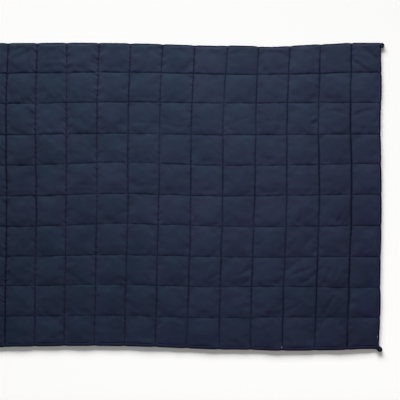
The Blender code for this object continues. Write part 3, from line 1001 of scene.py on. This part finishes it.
def buildStrip(name, side):
    look = bindingSettings
    outline, pucker, middle = np.array(look["outline"]), look["pucker"], look["middle"]
    count = len(outline)
    dark, fade = look["foldShade"][side]
    points, faces, paintedShading, seam, previous = [], [], [], [], []
    for (outer, inward, press, slotted), pull in zip(stripRings(side), stripPulls(side)):
        first = len(points)
        for k, (u, z) in enumerate(np.concatenate([outline, look["slot"]]) if slotted else outline):
            spot = Vector((*(outer + inward * u * mm), 0.02 * (z > 2.5))) * look["puckerSize"]
            fold = noise.noise(spot) + 0.5 * noise.noise(spot * 2.3)
            loose = z > 4.2 and u < 9.9 or 0.3 < z < 4.2 and u < 1.6 and k < count
            lift = pucker * fold * (1 if u > 6 else 0.7) if loose else 0
            height = middle + (z + lift - 0.5 * pull * (z > 4) - middle) * press
            sideLift = pucker * 0.6 * fold if u < 1.5 else 0
            into = max(u + sideLift, -0.25) + look["inset"][side] * max(0, 1 - u / 5)
            points.append((*(outer + inward * into * mm), max(height, 0) * mm))
            # The mask is painted shade on the outer fold, in the stitch groove and where seams run in; below
            # nothing it is a painted highlight on the band.
            stitched = math.exp(-(((u - look["stitchLine"]) / look["stitchWidth"]) ** 2))
            beside = look["stitchShade"][side] * stitched if z > 4 else 0
            pulled = pull * min(1, max(0, (u - 2) / 4)) if z > 2.2 else 0
            shade = max(beside, pulled, min(1, max(0, 1 - (u - dark) / fade)))
            paintedShading.append(shade - look["paintedLight"][side] * (1 - shade))
            if abs(u - look["stitchLine"]) < 0.01:
                seam.append(points[-1])
        ring = list(range(first, len(points)))
        if not previous:
            faces.append(ring)
        elif len(previous) == len(ring):
            for p, o in zip(range(len(ring)), [*range(1, len(ring)), 0]):
                faces.append([previous[p], previous[o], ring[o], ring[p]])
        else:  # the slot starts or ends here
            whole, cut = sorted((previous, ring), key=len)
            faces += [[whole[p], whole[p + 1], cut[p + 1], cut[p]] for p in range(count - 1)]
            faces.append([whole[-1], whole[0], cut[0], cut[count + 3], cut[count], cut[count - 1]])
            faces.append(cut[count:])
        previous = ring
    faces.append(previous)
    piece = makePiece(name, liftEdges(np.array(points)), faces, cloths["binding"])
    addAttribute(piece, "sewn", np.array(paintedShading, float))
    tidyNormals(piece)
    return piece, liftEdges(np.array(seam))


bindings, bindingSeams = {}, []
for side in outward:
    bindings[side], seam = buildStrip(side + "Binding", side)
    bindingSeams.append(seam)
report("binding folded")


def dressed(tree, shape, cloth):
    real = addNode(tree, "GeometryNodeRealizeInstances", {"Geometry": shape})
    soft = addNode(tree, "GeometryNodeSetShadeSmooth", {"Geometry": real})
    return addNode(tree, "GeometryNodeSetMaterial", {"Geometry": soft, "Material": cloth})


def buildCordTree():
    sockets = {
        "Geometry": ("Geometry",),
        "Width": ("Float", 0.0045),
        "Height": ("Float", 0.004),
        "Wrinkle": ("Float", 0.0004),
        "Rings": ("Int", 56),
        "Sides": ("Int", 16),
        "Cloth": ("Material",),
    }
    tree, given, out = newGroup("rolledCord", "GeometryNodeTree", sockets, {"Geometry": "Geometry"})
    line = addNode(tree, "GeometryNodeMeshToCurve", {"Mesh": given["Geometry"]})
    smooth = addNode(tree, "GeometryNodeCurveSplineType", {"Curve": line}, spline_type="CATMULL_ROM")
    even = addNode(tree, "GeometryNodeResampleCurve", {"Curve": smooth, "Count": given["Rings"]})
    upright = addNode(tree, "GeometryNodeSetCurveNormal", {"Curve": even}, mode="Z_UP")
    circle = addNode(tree, "GeometryNodeCurvePrimitiveCircle", {"Resolution": given["Sides"], "Radius": 0.5})
    size = joinVector(tree, given["Width"], given["Height"], 1.0)
    profile = addNode(tree, "GeometryNodeTransform", {"Geometry": circle, "Scale": size})
    swept = {"Curve": upright, "Profile Curve": profile, "Fill Caps": True}
    fold = addNode(tree, "ShaderNodeTexNoise", {"Scale": 330, "Detail": 2})
    push = times(tree, calc(tree, "SUBTRACT", fold, 0.5), given["Wrinkle"])
    offset = vectorCalc(tree, "SCALE", addNode(tree, "GeometryNodeInputNormal"), push)
    rolled = {"Geometry": addNode(tree, "GeometryNodeCurveToMesh", swept), "Offset": offset}
    moved = addNode(tree, "GeometryNodeSetPosition", rolled)
    connect(tree, out, {"Geometry": dressed(tree, moved, given["Cloth"])})
    return tree


def buildStitchTree():
    sockets = {
        "Geometry": ("Geometry",),
        "Pitch": ("Float", 0.004),
        "Length": ("Float", 0.003),
        "Thickness": ("Float", 0.0006),
        "Lift": ("Float", 0.0),
        "Slant": ("Float", 0.08),
        "Seed": ("Int", 3),
        "Thread": ("Material",),
    }
    tree, given, out = newGroup("stitchRow", "GeometryNodeTree", sockets, {"Geometry": "Geometry"})
    line = addNode(tree, "GeometryNodeMeshToCurve", {"Mesh": given["Geometry"]})
    even = addNode(tree, "GeometryNodeResampleCurve", {"Curve": line, "Length": given["Pitch"]}, mode="LENGTH")
    lifted = {"Geometry": even, "Offset": joinVector(tree, z=given["Lift"])}
    tangent = addNode(tree, "GeometryNodeInputTangent")
    turn = addNode(tree, "FunctionNodeAlignRotationToVector", {"Vector": tangent}, axis="X", pivot_axis="Z")

    def draw(low, high):
        sockets = {2: low, 3: high, "Seed": given["Seed"]}
        return addNode(tree, "FunctionNodeRandomValue", sockets, data_type="FLOAT").outputs[1]

    lean = joinVector(tree, z=times(tree, draw(0.0, 1.0), given["Slant"]))
    skew = addNode(tree, "FunctionNodeEulerToRotation", {0: lean})
    thick = given["Thickness"]
    beads = {
        "Points": addNode(tree, "GeometryNodeSetPosition", lifted),
        "Instance": addNode(tree, "GeometryNodeMeshIcoSphere", {"Radius": 0.5, "Subdivisions": 1}),
        "Rotation": addNode(tree, "FunctionNodeRotateRotation", {0: turn, 1: skew}, rotation_space="LOCAL"),
        "Scale": joinVector(tree, times(tree, given["Length"], draw(0.8, 1.1)), thick, thick),
    }
    placed = addNode(tree, "GeometryNodeInstanceOnPoints", beads)
    connect(tree, out, {"Geometry": dressed(tree, placed, given["Thread"])})
    return tree


def growPiece(name, lines, tree, values):
    points, edges = [], []
    for line in lines:
        first = len(points)
        points += [tuple(point) for point in line]
        edges += [(first + k, first + k + 1) for k in range(len(line) - 1)]
    seed = bpy.data.meshes.new(name + "Path")
    seed.from_pydata(points, edges, [])
    source = addObject(name + "Path", seed)
    modifier = source.modifiers.new(name, "NODES")
    modifier.node_group = tree
    for item in tree.interface.items_tree:
        if item.item_type == "SOCKET" and item.in_out == "INPUT" and item.name in values:
            modifier[item.identifier] = values[item.name]
    grown = evaluatedMesh(source)
    grown.name = name
    bpy.data.objects.remove(source)
    return addObject(name, grown)


cordTree, stitchTree = buildCordTree(), buildStitchTree()

loopSettings = {
    "width": 8.8,
    "height": 6.4,
    "clear": 0.3,  # mm over the floor
    "eye": 0.9,
    "reachCorner": 3.6,
    "reachSide": 2.6,
    "sideDrop": 11.5,
    "headings": {  # degrees, from the right and towards the far side
        ("left", "far"): 135,
        ("left", "near"): 225,
        ("right", "near"): -45,
        ("right", "far"): -10,
    },
    "buried": 1.0,
    "wrinkle": 0.9,
}


def loopPath(root, heading, reach, walls):
    look = loopSettings
    ahead = np.array([math.cos(heading), math.sin(heading)])
    aside = np.array([-ahead[1], ahead[0]])
    radius = (look["eye"] + look["width"] / 2) * mm
    legs = []
    for away in (aside, -aside):
        outwards, wall = max(walls, key=lambda w: float(np.dot(w[0], away)))
        start = root + away * radius
        back = (wall - look["buried"] * mm - np.dot(start, outwards)) / np.dot(ahead, outwards)
        leg = [start + ahead * back * (1 - k / 4) for k in range(4)]
        legs.append(leg + [start + ahead * reach * mm * 0.5])
    bend = []
    for turn in np.arange(13) * math.pi / 12:
        bend.append(root + ahead * reach * mm + radius * (aside * math.cos(turn) + ahead * math.sin(turn)))
    return [(*place, (look["height"] / 2 + look["clear"]) * mm) for place in legs[0] + bend + legs[1][::-1]]


def inMetres(settings, *names):
    return {name.capitalize(): settings[name] * mm for name in names}


loopValues = inMetres(loopSettings, "width", "height", "wrinkle")
loopPieces = {}
for (side, end), heading in loopSettings["headings"].items():
    sideLine, endLine = edgeLine(side)[0], edgeLine(end)[0]
    root = np.array([sideLine[0 if end == "far" else -1][0], endLine[-1 if side == "right" else 0][1]])
    walls = [(outward[way], np.dot(root, outward[way])) for way in (side, end)]
    reach = loopSettings["reachCorner"]
    if (side, end) == ("right", "far"):  # this one is sewn to the side, a little below the corner
        walls, reach = walls[:1], loopSettings["reachSide"]
        root = root - outward[end] * loopSettings["sideDrop"] * mm
    path = loopPath(root, math.radians(heading), reach, walls)
    name = end + side.capitalize() + "Loop"
    loopPieces[end, side] = growPiece(name, [path], cordTree, {**loopValues, "Cloth": cloths["loop"]})
report("loops rolled")

stitchSettings = {"pitch": 4.0, "length": 3.2, "thickness": 0.55, "slant": 0.16, "perPocket": 24}


def seamsOf(points, step):
    return [points[:, c * step] for c in range(1, columns)] + [points[r * step] for r in range(1, rows)]


per = stitchSettings["perPocket"]
upperPoints = liftEdges(np.stack([upperX, upperY, upperZ], -1) + shift)
underX, underY = sheetPlan(evenStations(columns, per), evenStations(rows, per))
underZ = np.full(underX.shape, quiltSettings["seamBottom"] * mm)
underPoints = liftEdges(np.stack([underX, underY, underZ], -1) + shift)
seamRows = {  # the sewn lines, the stitches' height over them in mm, and the seed
    "upperStitches": (seamsOf(upperPoints, len(halfSteps(quiltSettings["steps"]))), 0.12, 3),
    "underStitches": (seamsOf(underPoints, per), -0.12, 5),
    "bindingStitches": (bindingSeams, 0.05, 7),
}
stitchValues = inMetres(stitchSettings, "pitch", "length", "thickness")
stitchValues.update({"Slant": stitchSettings["slant"], "Thread": sewingThread})
stitchPieces = [
    growPiece(name, lines, stitchTree, {**stitchValues, "Lift": lift * mm, "Seed": seed})
    for name, (lines, lift, seed) in seamRows.items()
]
report("stitches sewn")

threadEnds = {  # x, y and the height over the cloth of each point, in mm
    "paths": (
        ((529.5, -589, 0.2), (528.7, -592, 1.2), (529.6, -595, 0.9), (528.9, -598, 0.2)),
        ((904.0, -547, 0.2), (904.8, -550, 1.3), (903.9, -553, 1.0), (904.6, -556, 0.2)),
    ),
    "width": 1.1,
    "height": 0.9,
    "wrinkle": 0.1,
}
clothPoints = [upperPoints.reshape(-1, 3)]
for piece in bindings.values():
    clothPoints.append(np.array([vertex.co for vertex in piece.data.vertices if vertex.co.z > 4.2 * mm]))
clothPoints = np.concatenate(clothPoints)


def overCloth(x, y, above):
    away = np.hypot(clothPoints[:, 0] - x * mm, clothPoints[:, 1] - y * mm)
    return (x * mm, y * mm, clothPoints[away < 4 * mm, 2].max() + above * mm)


threadValues = inMetres(threadEnds, "width", "height", "wrinkle")
threadValues.update({"Rings": 24, "Sides": 8, "Cloth": looseThread})
threadPaths = [[overCloth(*place) for place in path] for path in threadEnds["paths"]]
threadPiece = growPiece("threadEnds", threadPaths, cordTree, threadValues)

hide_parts("quilted_body")
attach(quilt, "root")
for side, piece in bindings.items():
    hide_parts("binding_" + side)
    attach(piece, "root")
for (end, side), piece in loopPieces.items():
    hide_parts(f"loop_{end}_{side}")
    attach(piece, "root")
for piece in stitchPieces + [threadPiece]:
    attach(piece, "root")

studio = {
    "floorFar": 0.605,
    "floorNear": 0.878,
    "floorSide": 0.04,  # how much lighter the paper is at the right than at the left
    "floorHalf": 6,
    "fill": 0.207,
    "fillColour": (1.06, 0.985, 1.03, 1),
    "cameraPlace": (0.2088, -0.0153, 3.706),
    "lens": 85,
}


def buildFloor():
    material, tree, place = newMaterial("paperFloor")
    sideways, farther, _ = splitVector(tree, place)
    tone = remap(tree, farther, -0.75, 0.75, studio["floorNear"], studio["floorFar"])
    tone = times(tree, tone, remap(tree, sideways, -1, 1, 1 - studio["floorSide"], 1 + studio["floorSide"]))
    grey = joinVector(tree, tone, tone, times(tree, tone, 0.985))
    finish = {"Base Color": grey, "Roughness": 0.9, "Specular IOR Level": 0.1}
    connect(tree, tree.nodes["Principled BSDF"], finish)
    half = studio["floorHalf"]
    corners = [(x * half, y * half, 0) for x, y in ((-1, -1), (1, -1), (1, 1), (-1, 1))]
    floor = makePiece("floor", corners, [(0, 1, 2, 3)], material, False)
    floor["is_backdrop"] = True
    return floor


floor = buildFloor()
blanket = [quilt, threadPiece, *bindings.values(), *loopPieces.values(), *stitchPieces]
lamps = {  # each lights only the pieces it names
    "key": {
        "lights": blanket,
        "place": (-0.18, 4.2, 1.9),
        "aim": (0.2, -0.1, 0),
        "size": (2.2, 2.2),
        "power": 525,
        "colour": (0.94, 1.0, 0.975),
    },
    "pool": {
        "lights": blanket,
        "place": (0.3, 0.25, 2.4),
        "aim": (0.3, 0.25, 0),
        "size": (0.8, 0.8),
        "power": 5.2,
        "spread": 60,
    },
    "low": {
        "lights": [floor],
        "place": (-1.1, 8.0, 1.86),
        "aim": (0.2, -0.1, 0),
        "size": (8.0, 1.56),
        "power": 3540,
    },
    "sky": {
        "lights": [floor],
        "place": (0, 0, 6),
        "aim": (0, 0, 0),
        "size": (6, 6),
        "power": 45,
        "colour": (0.90, 1.02, 0.95),
    },
}
for name, look in lamps.items():
    light = bpy.data.lights.new(name + "Light", "AREA")
    light.shape = "RECTANGLE"
    light.size, light.size_y = look["size"]
    light.energy = look["power"]
    light.color = look.get("colour", (1, 1, 1))
    light.spread = math.radians(look.get("spread", 180))
    lamp = addObject(name + "Light", light)
    lamp.location = look["place"]
    lamp.rotation_euler = (Vector(look["aim"]) - lamp.location).to_track_quat("-Z", "Y").to_euler()
    lamp.visible_camera = False
    receivers = bpy.data.collections.new(name + "LightReceivers")
    for piece in look["lights"]:
        receivers.objects.link(piece)
    lamp.light_linking.receiver_collection = receivers
world = bpy.data.worlds.new("studioFill")
world.use_nodes = True
fill = {"Color": studio["fillColour"], "Strength": studio["fill"]}
connect(world.node_tree, world.node_tree.nodes["Background"], fill)
bpy.context.scene.world = world
bpy.context.scene.view_settings.view_transform = "Standard"
camera = bpy.data.cameras.new("camera")
camera.lens = studio["lens"]
camera.sensor_width = 36
cameraObject = addObject("camera", camera)
cameraObject.location = studio["cameraPlace"]
bpy.context.scene.camera = cameraObject

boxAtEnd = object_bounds()
report(f"cad box {boxAtStart}, visual box {boxAtEnd}")
